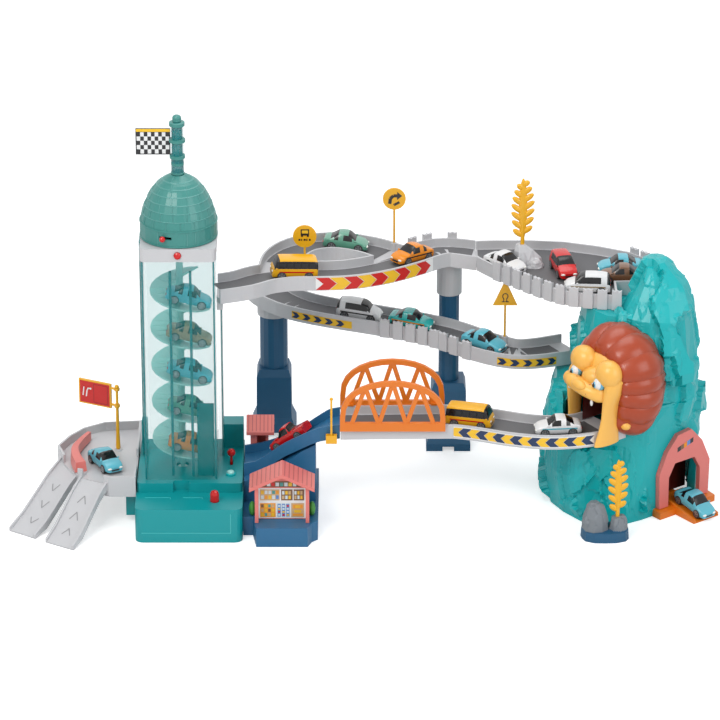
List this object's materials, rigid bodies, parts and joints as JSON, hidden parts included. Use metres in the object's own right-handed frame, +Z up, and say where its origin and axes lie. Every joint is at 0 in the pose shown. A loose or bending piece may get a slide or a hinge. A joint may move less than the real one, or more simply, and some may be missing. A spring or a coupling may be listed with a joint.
{
  "type": "toy car track playset",
  "caption": "Toy car track set: a clear lift tower with a screw, falling lanes on columns and a rock mountain, a truss bridge and a turning deck",
  "frame": {"origin": "where the lift tower's axis meets the ground", "axes": "+X along the set from the tower to the mountain, +Y to the back, +Z up"},
  "size_m": [0.7132, 0.324, 0.4214],
  "materials": {
    "teal": "gloss",
    "dome_green": "gloss",
    "mint": "gloss",
    "clear_teal": "gloss",
    "light_grey": "satin",
    "navy": "satin",
    "pink": "gloss",
    "orange": "satin",
    "yellow": "gloss",
    "red": "gloss",
    "mane": "gloss",
    "face": "gloss",
    "white": "gloss",
    "sky": "gloss",
    "sand": "gloss",
    "green": "gloss",
    "bus_yellow": "gloss",
    "dark": "satin",
    "black_white": "gloss"
  },
  "bodies": {
    "set": {"tower_base": "teal", "mountain": "teal", "dome": "dome_green", "lift_shell": "clear_teal", "beacon_rod": "clear_teal", "tower_cap": "light_grey", "turn_deck": "light_grey", "upper_lane": "light_grey", "middle_lane": "light_grey", "lower_lane": "light_grey", "castle_deck": "light_grey", "shore_rock": "light_grey", "column_left": "navy", "column_right": "navy", "station": "navy", "shop_house": "pink", "booth": "pink", "gate_arch": "pink", "bridge_front": "orange", "bridge_back": "orange", "gate_ramp": "orange", "sign_post": "yellow", "barrier_box": "yellow", "big_tree": "yellow", "small_tree": "yellow", "sign_load": "yellow", "sign_bend": "yellow", "sign_triangle": "yellow", "lion_mane": "mane", "lion_face": "face", "drive_unit": "white", "base_floor": "dark"},
    "screw": {"lift_screw": "mint"},
    "cap_button": {"cap_button": "red"},
    "dome_knob": {"dome_knob": "red"},
    "flag": {"flag": "black_white"},
    "base_button": {"base_button": "red"},
    "base_lever": {"base_lever": "red"},
    "lane_sign": {"lane_sign": "red"},
    "diverter": {"diverter_lever": "pink"},
    "barrier": {"barrier_arm": "yellow"},
    "lift_car_1": {"lift_car_1": "orange"},
    "lift_car_2": {"lift_car_2": "green"},
    "lift_car_3": {"lift_car_3": "sky"},
    "lift_car_4": {"lift_car_4": "sand"},
    "lift_car_5": {"lift_car_5": "sky"},
    "car_deck_sky": {"car_deck_sky": "sky"},
    "car_bus_upper": {"car_bus_upper": "bus_yellow"},
    "car_green_loop": {"car_green_loop": "green"},
    "car_orange": {"car_orange": "orange"},
    "car_white_deck": {"car_white_deck": "white"},
    "car_red_van": {"car_red_van": "red"},
    "car_parked_white": {"car_parked_white": "white"},
    "car_white_van": {"car_white_van": "white"},
    "car_teal_sport": {"car_teal_sport": "green"},
    "car_sky_coupe": {"car_sky_coupe": "sky"},
    "car_bus_lower": {"car_bus_lower": "bus_yellow"},
    "car_white_patrol": {"car_white_patrol": "white"},
    "car_red_pickup": {"car_red_pickup": "red"},
    "car_gate": {"car_gate": "sky"}
  },
  "joints": [
    {"name": "screw_turn", "type": "hinge", "parent": "set", "child": "screw", "pos_m": [0, 0, 0.15], "axis": [0, 0, 1], "range_deg": [-110, 90]},
    {"name": "cap_button_push", "type": "slide", "parent": "set", "child": "cap_button", "axis": [0, 1, 0], "range_m": [0, 0.002], "stiffness_N_per_m": 80, "springref_m": -0.001},
    {"name": "base_button_push", "type": "slide", "parent": "set", "child": "base_button", "axis": [0, 0, -1], "range_m": [0, 0.003], "stiffness_N_per_m": 80, "springref_m": -0.001},
    {"name": "dome_knob_slide", "type": "hinge", "parent": "set", "child": "dome_knob", "pos_m": [0, 0, 0.306], "axis": [0, 0, 1], "range_deg": [0, 11]},
    {"name": "flag_swing", "type": "hinge", "parent": "set", "child": "flag", "pos_m": [0, 0, 0.394], "axis": [0, 0, 1], "range_deg": [-90, 90]},
    {"name": "base_lever_tilt", "type": "hinge", "parent": "set", "child": "base_lever", "pos_m": [0.049, 0.004, 0.0435], "axis": [1, 0, 0], "range_deg": [-20, 20]},
    {"name": "sign_swing", "type": "hinge", "parent": "set", "child": "lane_sign", "pos_m": [-0.067, 0.034, 0.105], "axis": [0, 0, 1], "range_deg": [-60, 60]},
    {"name": "diverter_swing", "type": "hinge", "parent": "set", "child": "diverter", "pos_m": [-0.1015, -0.0225, 0.05], "axis": [0, 0, 1], "range_deg": [-6, 6]},
    {"name": "barrier_swing", "type": "hinge", "parent": "set", "child": "barrier", "pos_m": [0.1505, -0.0443, 0.0955], "axis": [0, 1, 0], "range_deg": [-75, 0]},
    {"name": "lift_car_1_rise", "type": "slide", "parent": "set", "child": "lift_car_1", "axis": [0, 0, 1], "range_m": [-0.0123, 0.0101]},
    {"name": "lift_car_2_rise", "type": "slide", "parent": "set", "child": "lift_car_2", "axis": [0, 0, 1], "range_m": [-0.0123, 0.0101]},
    {"name": "lift_car_3_rise", "type": "slide", "parent": "set", "child": "lift_car_3", "axis": [0, 0, 1], "range_m": [-0.0123, 0.0101]},
    {"name": "lift_car_4_rise", "type": "slide", "parent": "set", "child": "lift_car_4", "axis": [0, 0, 1], "range_m": [-0.0123, 0.0101]},
    {"name": "lift_car_5_rise", "type": "slide", "parent": "set", "child": "lift_car_5", "axis": [0, 0, 1], "range_m": [-0.0123, 0.0101]},
    {"name": "car_deck_sky_roll", "type": "slide", "parent": "set", "child": "car_deck_sky", "axis": [0.5, -0.866, 0], "range_m": [-0.003, 0.003]},
    {"name": "car_bus_upper_roll", "type": "slide", "parent": "set", "child": "car_bus_upper", "axis": [-0.982, -0.1731, 0.0759], "range_m": [-0.003, 0.003]},
    {"name": "car_green_loop_roll", "type": "slide", "parent": "set", "child": "car_green_loop", "axis": [0.9916, -0.1042, -0.0767], "range_m": [-0.003, 0.003]},
    {"name": "car_orange_roll", "type": "slide", "parent": "set", "child": "car_orange", "axis": [-0.7534, -0.6549, 0.0582], "range_m": [-0.003, 0.003]},
    {"name": "car_white_deck_roll", "type": "slide", "parent": "set", "child": "car_white_deck", "axis": [0.7071, -0.7071, 0], "range_m": [-0.003, 0.003]},
    {"name": "car_red_van_roll", "type": "slide", "parent": "set", "child": "car_red_van", "axis": [0.2079, -0.9781, 0], "range_m": [-0.003, 0.003]},
    {"name": "car_parked_white_roll", "type": "slide", "parent": "set", "child": "car_parked_white", "axis": [-0.9976, 0.0698, 0], "range_m": [-0.003, 0.003]},
    {"name": "car_white_van_roll", "type": "slide", "parent": "set", "child": "car_white_van", "axis": [0.9752, -0.2073, -0.078], "range_m": [-0.003, 0.003]},
    {"name": "car_teal_sport_roll", "type": "slide", "parent": "set", "child": "car_teal_sport", "axis": [0.9584, -0.2748, -0.0767], "range_m": [-0.003, 0.003]},
    {"name": "car_sky_coupe_roll", "type": "slide", "parent": "set", "child": "car_sky_coupe", "axis": [0.8461, -0.5287, -0.0677], "range_m": [-0.003, 0.003]},
    {"name": "car_bus_lower_roll", "type": "slide", "parent": "set", "child": "car_bus_lower", "axis": [0.9612, -0.2756, 0.0115], "range_m": [-0.003, 0.003]},
    {"name": "car_white_patrol_roll", "type": "slide", "parent": "set", "child": "car_white_patrol", "axis": [-0.9975, -0.0698, -0.012], "range_m": [-0.003, 0.003]},
    {"name": "car_red_pickup_roll", "type": "slide", "parent": "set", "child": "car_red_pickup", "axis": [-0.7453, 0.3049, -0.5929], "range_m": [-0.003, 0.003]},
    {"name": "car_gate_roll", "type": "slide", "parent": "set", "child": "car_gate", "axis": [0.6056, -0.7724, -0.1914], "range_m": [-0.003, 0.003]}
  ],
  "couplings": [
    {"joint": "lift_car_1_rise", "follows": "screw_turn", "m_per_rad": 0.0063662},
    {"joint": "lift_car_2_rise", "follows": "screw_turn", "m_per_rad": 0.0063662},
    {"joint": "lift_car_3_rise", "follows": "screw_turn", "m_per_rad": 0.0063662},
    {"joint": "lift_car_4_rise", "follows": "screw_turn", "m_per_rad": 0.0063662},
    {"joint": "lift_car_5_rise", "follows": "screw_turn", "m_per_rad": 0.0063662}
  ]
}
